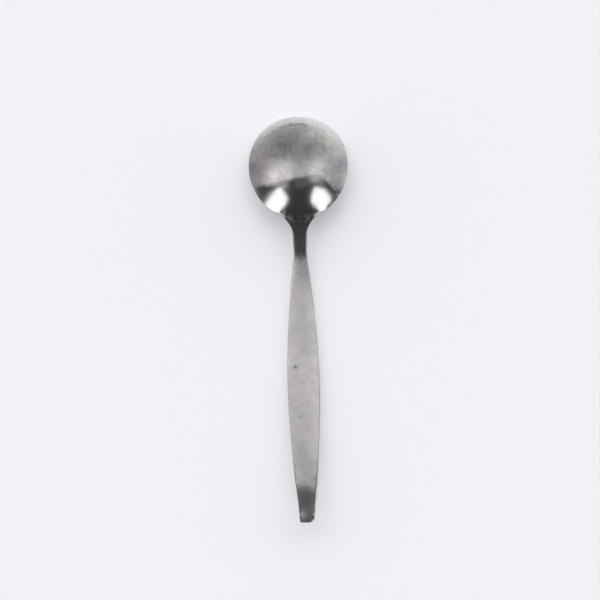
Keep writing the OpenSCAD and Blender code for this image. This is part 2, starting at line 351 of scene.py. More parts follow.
def bowlPatches():
    # columns run out from the middle of the dome, over the rim, to the middle of the hollow
    half = bowlOutline()
    left = half[1:][::-1] * np.array([-1, 1, -1, 1])
    middle = np.array([0.0, bowl["radius"]])
    ring = section(neckS, halfWidth(neckS), halfWidth(neckS))
    cutBack = ring[:acrossSteps - 1][::-1]
    start = acrossSteps - 1 + 2 * (arcSteps + 1)
    cutFace = ring[start:start + acrossSteps - 1]
    rims = [roundedEdge(p[:2], p[2:]) for p in half]
    leftRims = [roundedEdge(p[:2], p[2:]) for p in left]
    backEnds = [r[0] for r in rims] + list(cutBack) + [r[0] for r in leftRims] + [rims[0][0]]
    faceEnds = [r[-1] for r in rims] + list(cutFace) + [r[-1] for r in leftRims] + [rims[0][-1]]
    radius = bowl["radius"] - bowl["rimLand"]
    rear = bowl["rearLength"] - bowl["rimLand"]
    back, face = [], []
    for end in backEnds:
        u = np.linspace(0, 1, bowl["backRows"] + 1)[:, None]
        p = middle + (end[:2] - middle) * u
        column = np.column_stack([p, backHeight(p[:, 0], p[:, 1])])
        column[-1] = end
        back.append(column)
    for end in faceEnds:
        out = end[:2] - middle
        land = middle + out / math.sqrt(reach(end[0], end[1], radius, rear))
        u = np.linspace(0, 1, bowl["landRows"] + 1)[:-1, None]
        v = np.linspace(0, 1, bowl["hollowRows"] + 1)[:, None]
        p = np.concatenate([end[:2] + (land - end[:2]) * u, land + (middle - land) * v])
        column = np.column_stack([p, faceHeight(p[:, 0], p[:, 1])])
        column[0] = end
        face.append(column)
    rimRight = np.stack(rims)
    rimLeft = np.stack(leftRims + [rims[0]])
    return [np.stack(back), rimRight, rimLeft, np.stack(face)], [capPatch(ring)]


def neckPatches():
    places = np.linspace(neckS, handleS, neck["rings"] + 1)
    return sweptPatches([section(s, halfWidth(s), halfWidth(s)) for s in places])


def handlePatches():
    places = np.linspace(handleS, endS, handle["rings"] + 1)
    return sweptPatches([section(s, halfWidth(s), halfWidth(s)) for s in places])


def corneredWidth(s, radius):
    # half width with the tip's corner rounded
    past = max(s - overall["length"] + radius, 0)
    return halfWidth(s) - radius + math.sqrt(radius * radius - min(past, radius) ** 2)


def handleEndPatches():
    sharp, worn = handleEnd["sharpCorner"], handleEnd["wornCorner"]
    start = overall["length"] - worn
    turns = np.linspace(0, math.pi / 2, handleEnd["cornerRings"] + 1)
    places = list(np.linspace(endS, start, handleEnd["rings"] + 1)[:-1])
    places += [start + worn * math.sin(turn) for turn in turns]
    return sweptPatches([section(s, corneredWidth(s, sharp), corneredWidth(s, worn)) for s in places])


wear = {
    "waveDepth": 0.012,     # hand-held buffing leaves the surface very slightly wavy
    "waveLength": 9,
    "waves": [              # shares of a turn across and along, and where each wave starts
        (0.4, 1, 0), (1.37, 0, 0.6), (-0.793, 0.61, 2.1)],
    "dentDepth": 0.1,
    "dents": [              # place across, place along, radius
        (3.2, 172.2, 0.7), (3.6, 168.6, 0.5), (-5.9, 121.0, 0.6), (6.4, 103.5, 0.5), (5.1, 152.8, 0.5),
        (-4.3, 158.1, 0.4), (-2.9, 66.2, 0.4), (-20.4, 16.0, 0.5), (17.2, 34.2, 0.5)],
}


def spot(x, s, spotX, spotS, radius):
    # 1 in the middle of a round spot, fading outwards
    return np.exp(-((x - spotX) ** 2 + (s - spotS) ** 2) / radius ** 2)


def wornOffset(x, s):
    # how far the surface lies below the new one, always inwards
    turn = 2 * math.pi / wear["waveLength"]
    wave = 0
    for acrossShare, alongShare, start in wear["waves"]:
        wave = wave + np.sin(turn * (acrossShare * x + alongShare * s) + start)
    depth = wear["waveDepth"] * (0.5 + wave / (2 * len(wear["waves"])))
    for dentX, dentS, radius in wear["dents"]:
        depth = depth + wear["dentDepth"] * spot(x, s, dentX, dentS, radius)
    return depth


def gridFaces(patches, offset):
    # corner numbers of the faces of each grid of points
    faces = []
    for patch in patches:
        rows, columns = patch.shape[:2]
        number = offset + np.arange(rows * columns).reshape(rows, columns)
        quads = np.stack([number[:-1, :-1], number[1:, :-1], number[1:, 1:], number[:-1, 1:]], axis=-1)
        faces.append(quads.reshape(-1, 4))
        offset += rows * columns
    return np.concatenate(faces), offset


def mergePoints(points):
    # points that agree to a hundred-thousandth of a millimetre become one
    stepsPerMm = 1e5
    keys = np.round(points * stepsPerMm).astype(np.int64)
    first, inverse = np.unique(keys, axis=0, return_index=True, return_inverse=True)[1:]
    return points[first], inverse.reshape(-1)


def pointNormals(points, faces):
    # mean direction of the faces round each point, the larger ones counting more
    total = np.zeros_like(points)
    a, b, c, d = (points[faces[:, k]] for k in range(4))
    faceNormals = np.cross(c - a, d - b)
    for k in range(4):
        np.add.at(total, faces[:, k], faceNormals)
    tiny = 1e-12  # keeps points that no face uses from a division by zero
    return total / np.maximum(np.linalg.norm(total, axis=1), tiny)[:, None]


def placesOf(points):
    # place across and place along the spoon
    return points[:, 0], overall["length"] / 2 - points[:, 1]


print("shape: points of the four pieces")
shapes = {
    "bowl": bowlPatches(),
    "neck": neckPatches(),
    "handle": handlePatches(),
    "handle_end": handleEndPatches(),
}

# All skins are joined first, so that the normals run smoothly across the cuts
allPoints, skinFaces, capFaces, count = [], {}, {}, 0
for name, (skins, caps) in shapes.items():
    allPoints += [p.reshape(-1, 3) for p in skins + caps]
    skinFaces[name], count = gridFaces(skins, count)
    capFaces[name], count = gridFaces(caps, count)
points, numbers = mergePoints(np.concatenate(allPoints))
points = np.column_stack([points[:, 0], overall["length"] / 2 - points[:, 1], points[:, 2]])
for name in shapes:
    skinFaces[name], capFaces[name] = numbers[skinFaces[name]], numbers[capFaces[name]]
allSkin = np.concatenate(list(skinFaces.values()))
normals = pointNormals(points, allSkin)
points = points - normals * wornOffset(*placesOf(points))[:, None]
normals = pointNormals(points, allSkin)


# Finish painted on the points: polish, grime with painted shade, and tarnish with painted highlights and
# shade

# A span holds the place where something begins and the place where it is full
finish = {
    # the heel's polish, which begins at a line across the bowl
    "heelLine": 24.7,       # that line, at its foremost place
    "heelMiddle": 7,        # that place, across the bowl
    "heelBow": 0.1,         # how the line bows back from there to both sides
    "heelBowPower": 1.2,
    "heelBowReach": 20,
    "heelCorner": 4.5,      # how much further back it turns at +X
    "heelCornerSpan": (9, 16),
    "heelWobble": 0.12,
    "heelWobbleTurn": 1.3,
    "heelSoft": 2.6,
    "heelShine": 0.84,      # polish of the heel's upper part; full further down
    "heelShineSpan": (36, 44),
    "heelDull": 0.1,        # how much duller the polish is at -X
    "heelDullSpan": (-11, -15),
    # the handle's brushing, the tip's polish and the face's finish
    "satinLine": 56.5,      # where the brushing begins at the sides
    "satinPoint": 1.5,      # how much later it begins in the middle
    "satinPointWidth": 2.8,
    "satinSoft": 6,
    "tipPolish": 0.6,
    "tipLine": 157,
    "tipSlant": 0.1,        # the tip's polish begins later at +X
    "tipSoft": 6,
    "facePolish": 0.8,
    "faceSpan": (0, -0.2),  # height of the normal, which points down on the face
    "faceEnd": 70,
    "nicks": [              # rubbed spots in the polish: place across, place along, radius, amount
        (-2.2, 171.5, 2, 0.5), (-6.4, 41.2, 0.6, 0.5), (-6.5, 39.4, 1.3, 0.2), (7, 38.7, 1.5, 0.25),
        (2.1, 43.1, 0.5, 0.5), (2.7, 45.3, 0.5, 0.5), (1.3, 48.9, 0.45, 0.4), (-2.3, 54.5, 0.4, 0.35),
        (0, 53.5, 5, 0.3), (-0.5, 34, 0.5, 0.2), (-4.4, 35.9, 0.5, 0.35), (-1.1, 37, 0.4, 0.25),
        (10.5, 27.5, 2.2, 0.4), (-3.5, 44, 1.3, 0.5), (0, 44, 1.3, 0.5), (3.5, 44, 1.3, 0.5)],
    # the dark band where the heel's polish begins: grime, and painted shade that darkens the heel's mirrored
    # lights there
    "heelGrimeAndShade": 0.82,
    "heelGrimeAndShadeSoft": 1.5,
    "heelGrimeAndShadeWidth": 2.2,
    "heelGrimeAndShadeMiddle": 0.5, # how much wider it is in the middle
    "heelGrimeAndShadeMiddleSpan": (5, 1),
    "heelGrimeAndShadeCorner": 2.4, # how much wider it is at -X
    "heelGrimeAndShadeCornerSpan": (-13, -15),
    "heelGrimeAndShadeFadeLeft": 0.45,  # how much weaker it is at -X, and at +X
    "heelGrimeAndShadeLeftSpan": (-8, -12),
    "heelGrimeAndShadeFadeRight": 0.5,
    "heelGrimeAndShadeRightSpan": (6, 10),
    "heelGrimeAndShadeEndSpan": (-19, -14),  # its end at -X
    # grime in pits, and painted shade along the edges
    "pits": [               # pits full of grime, listed as the nicks are
        (-3.3, 108.1, 0.8, 1), (-2.1, 129.8, 0.6, 0.5), (3, 172.2, 0.9, 0.9)],
    "edgeWidth": 1.1,       # width of the painted shade along the edges
    "edgeSoft": 1,
    "edgePaintedShade": [          # place along, share of painted shade
        (0, 0.02), (40.2, 0.02), (41.6, 0.8), (44, 0.7), (58, 0.7),
        (64, 0.22), (146, 0.25), (152, 0.65), (160, 0.9), (175, 0.8)],
    "sidePaintedShade": 0.12,      # more of it along the handle's edge at +X
    "sidePaintedShadeWidth": 1,
    "sidePaintedShadeLength": 8,
    # the worn band at the bowl's front, painted lighter as a highlight with a line of painted shade behind
    # it, and the tarnish of the back
    "frontBand": 2.9,       # width of the band
    "frontSpan": (14.91, 4.26),
    "frontBright": 0.75,    # how bright, at the rim and where it ends
    "frontFaded": 0.25,
    "frontSoft": 0.6,       # its soft inner edge, in the middle
    "frontSofter": 0.25,    # how much softer for each millimetre to the side
    "frontLine": 0.4,       # width of the line of painted shade behind it
    "frontLineReach": 6,
    "frontLineDark": 0.5,
    "patches": [            # place across, place along, radius, darkening (lightening below zero)
        (-6, 8, 7, 0.5), (4, 12, 8, 0.1), (8.5, 12, 4, 0.25), (3.5, 5.5, 3, 0.2), (0, 17, 5, -0.15),
        (-3.5, 20.8, 3, -0.25), (-19.5, 22, 4, 0.5), (-18.3, 28, 3, 0.3), (-10, 21, 3, 0.35),
        (-11, 26, 3, -0.4), (-12, 21, 3, -0.1), (18, 21, 4.5, 0.6), (16.5, 29, 3, 0.5),
        (17.5, 33.5, 2.5, 0.8), (10, 20, 4, -0.15), (14, 8, 6, -0.25), (0, 140, 24, 0.12),
        (-2.5, 147, 9, 0.3), (-3.5, 128, 9, 0.15), (3.5, 100, 7, 0.1), (-3, 92, 6, 0.15),
        # the lighter patch at -2.1, 171.5 is a painted highlight on the tip's rubbed spot
        (0, 84, 12, 0.12), (3, 152, 5, 0.3), (4.2, 156.5, 2.5, 0.5), (-2.1, 171.5, 2.2, -1),
        (3, 163, 3, 0.2)],
}


def grown(value, span):
    # 0 where the span begins, 1 where it is full
    return eased((value - span[0]) / (span[1] - span[0]))


def heelLineAt(x):
    away = np.minimum(np.abs(x - finish["heelMiddle"]), finish["heelBowReach"])
    bow = finish["heelBow"] * away ** finish["heelBowPower"]
    corner = finish["heelCorner"] * grown(x, finish["heelCornerSpan"])
    return finish["heelLine"] + bow + corner + finish["heelWobble"] * np.sin(finish["heelWobbleTurn"] * x)


def polishOf(x, s, up):
    shine = finish["heelShine"] + (1 - finish["heelShine"]) * grown(s, finish["heelShineSpan"])
    dulled = 1 - finish["heelDull"] * grown(x, finish["heelDullSpan"])
    heelPart = shine * eased((s - heelLineAt(x)) / finish["heelSoft"]) * dulled
    point = 1 - np.minimum(np.abs(x) / finish["satinPointWidth"], 1)
    satinStart = finish["satinLine"] + finish["satinPoint"] * point
    satinPart = eased((s - satinStart) / finish["satinSoft"])
    pastTip = s - finish["tipLine"] - finish["tipSlant"] * x
    tipPart = finish["tipPolish"] * eased(pastTip / finish["tipSoft"])
    polish = heelPart * (1 - satinPart) + tipPart
    for nickX, nickS, radius, amount in finish["nicks"]:
        polish = polish * (1 - amount * spot(x, s, nickX, nickS, radius))
    face = finish["facePolish"] * grown(up, finish["faceSpan"]) * (s < finish["faceEnd"])
    return np.clip(np.maximum(polish, face), 0, 1)


def rimDistance(x, s):
    # distance inwards from the bowl's outline
    return bowl["radius"] * (1 - np.sqrt(reach(x, s, bowl["radius"], bowl["rearLength"])))


def edgePaintedShadeOf(x, s):
    # painted shade on the rounded edges, which keeps them from shining
    side = np.where(s < neckS, 0, halfWidth(np.maximum(s, neckS)) - np.abs(x))
    fromEdge = np.minimum(np.maximum(rimDistance(x, s), side), overall["length"] - s)
    onSide = eased(x / finish["sidePaintedShadeWidth"]) * eased((s - handleS) / finish["sidePaintedShadeLength"])
    share = np.interp(s, *zip(*finish["edgePaintedShade"])) + finish["sidePaintedShade"] * onSide
    return share * eased((finish["edgeWidth"] - fromEdge) / finish["edgeSoft"])


def heelGrimeAndShadeOf(x, s):
    # the dark band where the heel's polish begins: grime and painted shade
    pastLine = s - heelLineAt(x)
    middle = finish["heelGrimeAndShadeMiddle"] * grown(np.abs(x), finish["heelGrimeAndShadeMiddleSpan"])
    corner = finish["heelGrimeAndShadeCorner"] * grown(x, finish["heelGrimeAndShadeCornerSpan"])
    width = finish["heelGrimeAndShadeWidth"] + middle + corner
    band = finish["heelGrimeAndShade"] * eased(pastLine / finish["heelGrimeAndShadeSoft"]) * (1 - eased(pastLine / width - 1))
    left = finish["heelGrimeAndShadeFadeLeft"] * grown(x, finish["heelGrimeAndShadeLeftSpan"])
    right = finish["heelGrimeAndShadeFadeRight"] * grown(x, finish["heelGrimeAndShadeRightSpan"])
    return band * grown(x, finish["heelGrimeAndShadeEndSpan"]) * (1 - right - left)


def grimeAndShadeOf(x, s, up):
    # the face has only the painted shade along its edges
    onBack = heelGrimeAndShadeOf(x, s)
    for pitX, pitS, radius, amount in finish["pits"]:
        onBack = np.maximum(onBack, amount * spot(x, s, pitX, pitS, radius))
    return np.maximum(edgePaintedShadeOf(x, s), onBack * (up > 0))


def tarnishAndPaintedLightOf(x, s, up):
    # darker and lighter patches of the worn back, a painted highlight at the tip, and the worn band at the
    # bowl's front painted lighter as a highlight, with a line of painted shade behind it
    tone = 0 * x
    for patchX, patchS, radius, amount in finish["patches"]:
        tone = tone + amount * spot(x, s, patchX, patchS, radius)
    fromRim = rimDistance(x, s)
    ahead = grown(s, finish["frontSpan"])
    soft = finish["frontSoft"] + finish["frontSofter"] * np.abs(x)
    band = eased((finish["frontBand"] - fromRim) / soft + 0.5) * ahead
    lineAway = (fromRim - finish["frontBand"] - finish["frontLine"]) / finish["frontLine"]
    line = np.exp(-lineAway ** 2 - (x / finish["frontLineReach"]) ** 4) * ahead
    fading = (finish["frontFaded"] - finish["frontBright"]) * np.clip(fromRim / finish["frontBand"], 0, 1)
    toned = tone * (1 - band) - band * (finish["frontBright"] + fading) + finish["frontLineDark"] * line
    return np.where(up > 0, toned, 0)


print("finish: polish, grime and tarnish of each point")
across, downwards = placesOf(points)
painted = {
    "polish": polishOf(across, downwards, normals[:, 2]),
    "grimeAndShade": grimeAndShadeOf(across, downwards, normals[:, 2]),
    "tarnishAndPaintedLight": tarnishAndPaintedLightOf(across, downwards, normals[:, 2]),
}

brushingMap = {             # size of the map that tells the brushing's direction
    "width": 50,
    "length": 200,
}


def buildPiece(name):
    faces = np.concatenate([skinFaces[name], capFaces[name]])
    isCap = np.arange(len(faces)) >= len(skinFaces[name])
    used, local = np.unique(faces, return_inverse=True)
    local = local.reshape(-1, 4)
    corners, flat = [], []
    for face, cap in zip(local.tolist(), isCap.tolist()):
        ring = [v for k, v in enumerate(face) if v != face[k - 1]]
        if len(set(ring)) > 2:
            corners.append(ring)
            flat.append(cap)
    mesh = bpy.data.meshes.new(name)
    mesh.from_pydata((points[used] * mm).tolist(), [], corners)
    mesh.polygons.foreach_set("use_smooth", [True] * len(corners))
    piece = bpy.data.objects.new(name + "Shell", mesh)
    scene.collection.objects.link(piece)
    # smooth normals from the joined skins, flat ones on the cut faces
    capEdges = {key for polygon, cap in zip(mesh.polygons, flat) if cap for key in polygon.edge_keys}
    skinEdges = {key for polygon, cap in zip(mesh.polygons, flat) if not cap for key in polygon.edge_keys}
    for edge in mesh.edges:
        edge.use_edge_sharp = edge.key in capEdges and edge.key in skinEdges
    loopNormals = []
    brushing = mesh.uv_layers.new(name="brushing")
    mapWidth, mapLength = brushingMap["width"] * mm, brushingMap["length"] * mm
    for polygon, cap in zip(mesh.polygons, flat):
        side = math.copysign(1, polygon.center.x)
        for loop in polygon.loop_indices:
            vertex = mesh.loops[loop].vertex_index
            loopNormals.append(tuple(polygon.normal) if cap else tuple(normals[used[vertex]]))
            place = mesh.vertices[vertex].co
            brushing.data[loop].uv = ((place.x - side * place.z) / mapWidth + 0.5, place.y / mapLength + 0.5)
    mesh.normals_split_custom_set(loopNormals)
    for key, values in painted.items():
        mesh.attributes.new(key, "FLOAT", "POINT").data.foreach_set("value", values[used].astype(np.float32))
    return piece


print("shape: meshes")
pieces = {name: buildPiece(name) for name in shapes}


# Materials

def addNode(tree, kind, links=None, **settings):
    # one node with its settings; links holds values or sockets for its inputs
    node = tree.nodes.new(kind)
    for key, value in settings.items():
        setattr(node, key, value)
    for key, value in (links or {}).items():
        if isinstance(value, bpy.types.NodeSocket):
            tree.links.new(value, node.inputs[key])
        else:
            node.inputs[key].default_value = value
    return node


def startSteel(name):
    # empty material, with the place in millimetres and what is painted on the points
    material = bpy.data.materials.new(name)
    material.use_nodes = True
    tree = material.node_tree
    tree.nodes.clear()
    place = addNode(tree, "ShaderNodeTexCoord").outputs["Object"]
    place = addNode(tree, "ShaderNodeVectorMath", {0: place, 3: 1 / mm}, operation="SCALE").outputs[0]
    marks = {key: addNode(tree, "ShaderNodeAttribute", attribute_name=key).outputs["Fac"] for key in painted}
    return material, tree, place, marks


def cloudShare(tree, look, place):
    # soft cloudy patches where the steel is duller
    clouds = addNode(tree, "ShaderNodeTexNoise", {
        "Vector": place, "Scale": 1 / look["cloudSize"], "Detail": look["cloudDetail"],
        "Roughness": look["cloudGrain"]}).outputs["Fac"]
    return addNode(tree, "ShaderNodeMapRange", {
        "Value": clouds, 1: look["cloudStart"], 2: look["cloudFull"]},
        interpolation_type="SMOOTHSTEP").outputs[0]


def tarnishAndPaintedLightShares(tree, tarnishAndPaintedLight):
    # darker where the tarnish and painted shade are above zero, lighter where the painted highlights and
    # lighter patches are below
    return [addNode(tree, "ShaderNodeMapRange", {"Value": tarnishAndPaintedLight, 2: full}).outputs[0] for full in (1, -1)]


def strongest(tree, shares):
    # the largest of several shares
    best = shares[0]
    for share in shares[1:]:
        best = addNode(tree, "ShaderNodeMath", {0: best, 1: share}, operation="MAXIMUM").outputs[0]
    return best


def layColours(tree, look, layers):
    # colours laid over the clean steel in turn, each by its share
    colour = linearColour(look["clean"])
    for share, layer in layers:
        colour = addNode(tree, "ShaderNodeMix", {
            0: share, 6: colour, 7: linearColour(look[layer])}, data_type="RGBA").outputs[2]
    return colour


def finishSteel(tree, look, colour, polished, texture, cuts, more):
    # the texture and the cuts in it make the steel rough and uneven, and the polish takes both away;
    # more holds further inputs of the shader
    low, high = look["roughness"] - look["smoother"], look["roughness"] + look["rougher"]
    mattRoughness = addNode(tree, "ShaderNodeMapRange", {"Value": texture, 3: low, 4: high}).outputs[0]
    roughness = addNode(tree, "ShaderNodeMix", {
        0: polished, 2: mattRoughness, 3: look["mirrorRoughness"]}, data_type="FLOAT").outputs[0]
    mattPart = addNode(tree, "ShaderNodeMapRange", {
        "Value": polished, 2: look["reliefEnd"], 3: 1, 4: look["reliefLeft"]}).outputs[0]
    height = addNode(tree, "ShaderNodeMath", {0: texture, 1: cuts}, operation="SUBTRACT").outputs[0]
    height = addNode(tree, "ShaderNodeMath", {0: height, 1: mattPart}, operation="MULTIPLY").outputs[0]
    bump = addNode(tree, "ShaderNodeBump", {
        "Height": height, "Strength": look["relief"], "Distance": look["reliefDepth"] * mm}).outputs[0]
    shader = addNode(tree, "ShaderNodeBsdfPrincipled", {
        "Base Color": colour, "Metallic": 1.0, "Roughness": roughness, "Normal": bump, **more})
    addNode(tree, "ShaderNodeOutputMaterial", {"Surface": shader.outputs[0]})


# Stainless steel, stamped from sheet and buffed, its back worn matt by years of dishes and drawers:
# a soft, cloudy grey sheen with fine scratches, next to a heel and neck that stayed mirror bright.
# Each mark of a pattern begins at the value Start and is full at the value Full.
wornStainless = {
    "clean": "#c9c7c5",
    "cloud": "#a6a4a4",
    "warmStain": "#b8a6aa",
    "coolStain": "#adaea4",
    "dark": "#858388",
    "light": "#efeeef",
    # grime, and the painted shade at the heel's polish line and along the edges
    "grimeAndShade": "#5f5e62",
    "mirror": "#b9b9ba",
    "roughness": 0.47,
    "smoother": 0.1,        # how far the grain takes the roughness down and up
    "rougher": 0.12,
    "mirrorRoughness": 0.12,
    "relief": 0.35,         # strength of the fine relief, and its depth in mm
    "reliefDepth": 0.03,
    "reliefEnd": 1,         # polish from which on only reliefLeft of it is left
    "reliefLeft": 0,
    "cloudSize": 7,         # mm, as all sizes, widths, lengths and spacings here
    "cloudDetail": 8,
    "cloudGrain": 0.7,
    "cloudStart": 0.38,
    "cloudFull": 0.66,
    "stainSize": 11.2,
    "stainDetail": 2,
    "stainSeed": 4,
    "stainAmount": 0.6,
    "warmStart": 0.55,
    "warmFull": 0.7,
    "coolStart": 0.45,
    "coolFull": 0.3,
    "grainSize": 0.9,       # the real matt grain is some 0.05 mm, drawn coarser to show
    "grainDetail": 3,
    "speckStart": 0.57,
    "speckFull": 0.72,
    "speckAmount": 0.4,
    "scratchWidth": 0.45,   # real scratches are about 0.05 mm wide, drawn coarser to show
    "scratchLength": 9,
    "scratchTurns": [(0.7, 1), (-0.45, 5), (1.5, 9)],  # direction in radians, and seed
    "scratchDetail": 2,
    "scratchWaver": 0.8,
    "scratchStart": 0.66,
    "scratchFull": 0.74,
    "scratchAmount": 0.8,
    "tideSize": 5,          # thin wavy lines left by drying water
    "tideSeed": 3,
    "tideWaver": 0.7,
    "tideWidth": 0.008,     # how close to 0.5 the pattern comes on a line
    "tideStart": 0.15,      # they show where the tarnish is this dark
    "tideFull": 0.45,
    "tideAmount": 0.6,
    "nickSpacing": 2.2,
    "nickStart": 0.19,      # shares of the spacing
    "nickFull": 0.06,
    "darkNicksFrom": 0.75,  # a nick's kind runs from 0 to 1
    "lightNicksTo": 0.25,
    "lightNickAmount": 0.6,
}


def scratchLines(tree, look, place):
    # scratches in three directions: noise drawn out along each
    drawn = []
    thin, drawnOut = 1 / look["scratchWidth"], 1 / look["scratchLength"]
    for turn, seed in look["scratchTurns"]:
        turned = addNode(tree, "ShaderNodeMapping", {
            "Vector": place, "Rotation": (0, 0, turn), "Scale": (thin, drawnOut, drawnOut)}).outputs[0]
        lines = addNode(tree, "ShaderNodeTexNoise", {
            "Vector": turned, "Scale": 1, "Detail": look["scratchDetail"], "Distortion": look["scratchWaver"],
            "W": seed}, noise_dimensions="4D").outputs["Fac"]
        drawn.append(addNode(tree, "ShaderNodeMapRange", {
            "Value": lines, 1: look["scratchStart"], 2: look["scratchFull"]},
            interpolation_type="SMOOTHSTEP").outputs[0])
    return strongest(tree, drawn)


def tideLines(tree, look, place, tarnishAndPaintedLight):
    # thin wavy lines, only here and there
    tides = addNode(tree, "ShaderNodeTexNoise", {
        "Vector": place, "Scale": 1 / look["tideSize"], "Detail": 1, "Distortion": look["tideWaver"],
        "W": look["tideSeed"]}, noise_dimensions="4D").outputs["Fac"]
    onLine = addNode(tree, "ShaderNodeMath", {
        0: tides, 1: 0.5, 2: look["tideWidth"]}, operation="COMPARE").outputs[0]
    here = addNode(tree, "ShaderNodeMapRange", {
        "Value": tarnishAndPaintedLight, 1: look["tideStart"], 2: look["tideFull"], 4: look["tideAmount"]}).outputs[0]
    return addNode(tree, "ShaderNodeMath", {0: onLine, 1: here}, operation="MULTIPLY").outputs[0]


def smallNicks(tree, look, place):
    # small nicks, some of them full of grime and some of them bright
    nicks = addNode(tree, "ShaderNodeTexVoronoi", {"Vector": place, "Scale": 1 / look["nickSpacing"]})
    share = addNode(tree, "ShaderNodeMapRange", {
        "Value": nicks.outputs["Distance"], 1: look["nickStart"], 2: look["nickFull"]},
        interpolation_type="SMOOTHSTEP").outputs[0]
    kind = addNode(tree, "ShaderNodeSeparateColor", {0: nicks.outputs["Color"]}).outputs[0]
    isDark = addNode(tree, "ShaderNodeMath", {
        0: kind, 1: look["darkNicksFrom"]}, operation="GREATER_THAN").outputs[0]
    isLight = addNode(tree, "ShaderNodeMath", {
        0: kind, 1: look["lightNicksTo"]}, operation="LESS_THAN").outputs[0]
    dark = addNode(tree, "ShaderNodeMath", {0: share, 1: isDark}, operation="MULTIPLY").outputs[0]
    light = addNode(tree, "ShaderNodeMath", {0: share, 1: isLight}, operation="MULTIPLY").outputs[0]
    light = addNode(tree, "ShaderNodeMath", {
        0: light, 1: look["lightNickAmount"]}, operation="MULTIPLY").outputs[0]
    return dark, light


def makeWornStainless():
    look = wornStainless
    material, tree, place, marks = startSteel("wornStainlessSteel")
    stains = addNode(tree, "ShaderNodeTexNoise", {
        "Vector": place, "Scale": 1 / look["stainSize"], "Detail": look["stainDetail"],
        "W": look["stainSeed"]}, noise_dimensions="4D").outputs["Fac"]
    warm = addNode(tree, "ShaderNodeMapRange", {
        "Value": stains, 1: look["warmStart"], 2: look["warmFull"], 4: look["stainAmount"]}).outputs[0]
    cool = addNode(tree, "ShaderNodeMapRange", {
        "Value": stains, 1: look["coolStart"], 2: look["coolFull"], 4: look["stainAmount"]}).outputs[0]
    grain = addNode(tree, "ShaderNodeTexNoise", {
        "Vector": place, "Scale": 1 / look["grainSize"], "Detail": look["grainDetail"]}).outputs["Fac"]
    specks = addNode(tree, "ShaderNodeMapRange", {
        "Value": grain, 1: look["speckStart"], 2: look["speckFull"], 4: look["speckAmount"]}).outputs[0]
    scratches = scratchLines(tree, look, place)
    darkScratches = addNode(tree, "ShaderNodeMath", {
        0: scratches, 1: look["scratchAmount"]}, operation="MULTIPLY").outputs[0]
    tides = tideLines(tree, look, place, marks["tarnishAndPaintedLight"])
    darkNicks, lightNicks = smallNicks(tree, look, place)
    darker, lighter = tarnishAndPaintedLightShares(tree, marks["tarnishAndPaintedLight"])
    colour = layColours(tree, look, [
        (cloudShare(tree, look, place), "cloud"), (warm, "warmStain"), (cool, "coolStain"),
        (darker, "dark"), (lighter, "light"),
        (strongest(tree, [darkScratches, tides, specks, darkNicks]), "dark"), (lightNicks, "light"),
        (marks["polish"], "mirror"), (marks["grimeAndShade"], "grimeAndShade")])
    finishSteel(tree, look, colour, marks["polish"], grain, scratches, {})
    return material


# The same stainless steel, brushed lengthwise on a belt: fine lines along the handle
# that spread highlights sideways and keep them short lengthwise.
brushedStainless = {
    "clean": "#c8c4c5",
    "cloud": "#b9b6b7",
    "warmStain": "#b9b2b3",
    "dark": "#858388",
    "light": "#efeeef",
    # grime, and the painted shade at the heel's polish line and along the edges
    "grimeAndShade": "#5f5e62",
    "mirror": "#b9b9ba",
    "roughness": 0.33,
    "smoother": 0.1,
    "rougher": 0.1,
    "mirrorRoughness": 0.12,
    "anisotropy": 0.6,
    "relief": 0.12,
    "reliefDepth": 0.03,
    "reliefEnd": 0.3,
    "reliefLeft": 0.05,
    "cloudSize": 4,
    "cloudDetail": 5,
    "cloudGrain": 0.6,
    "cloudStart": 0.4,
    "cloudFull": 0.65,
    "lineWidth": 0.5,       # real brush lines are about 0.03 mm wide, drawn coarser to show
    "lineLength": 40,
    "lineDetail": 4,
    "lineGrain": 0.65,
    "lineStart": 0.3,
    "lineFull": 0.7,
    "lineAmount": 0.35,
    "pitSpacing": 1.6,
    "pitStart": 0.13,
    "pitFull": 0.05,
}


def makeBrushedStainless():
    look = brushedStainless
    material, tree, place, marks = startSteel("brushedStainlessSteel")
    tangent = addNode(tree, "ShaderNodeTangent", direction_type="UV_MAP", uv_map="brushing").outputs[0]
    thin, drawnOut = 1 / look["lineWidth"], 1 / look["lineLength"]
    stretched = addNode(tree, "ShaderNodeMapping", {
        "Vector": place, "Scale": (thin, drawnOut, thin)}).outputs[0]
    lines = addNode(tree, "ShaderNodeTexNoise", {
        "Vector": stretched, "Scale": 1, "Detail": look["lineDetail"],
        "Roughness": look["lineGrain"]}).outputs["Fac"]
    lineShare = addNode(tree, "ShaderNodeMapRange", {
        "Value": lines, 1: look["lineStart"], 2: look["lineFull"], 4: look["lineAmount"]}).outputs[0]
    pits = addNode(tree, "ShaderNodeTexVoronoi", {"Vector": place, "Scale": 1 / look["pitSpacing"]})
    pitShare = addNode(tree, "ShaderNodeMapRange", {
        "Value": pits.outputs["Distance"], 1: look["pitStart"], 2: look["pitFull"]},
        interpolation_type="SMOOTHSTEP").outputs[0]
    darker, lighter = tarnishAndPaintedLightShares(tree, marks["tarnishAndPaintedLight"])
    colour = layColours(tree, look, [
        (cloudShare(tree, look, place), "cloud"), (lineShare, "warmStain"), (marks["polish"], "mirror"),
        (darker, "dark"), (lighter, "light"), (marks["grimeAndShade"], "grimeAndShade")])
    finishSteel(tree, look, colour, marks["polish"], lines, pitShare, {
        "Anisotropic": look["anisotropy"], "Tangent": tangent})
    return material


print("materials: worn and brushed stainless steel")
wornSteel = makeWornStainless()
brushedSteel = makeBrushedStainless()
for name, piece in pieces.items():
    piece.data.materials.append(wornSteel if name == "bowl" else brushedSteel)
    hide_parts(name)
    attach(piece, "root")


# Stage: floor, lamp, light cards, surroundings and camera

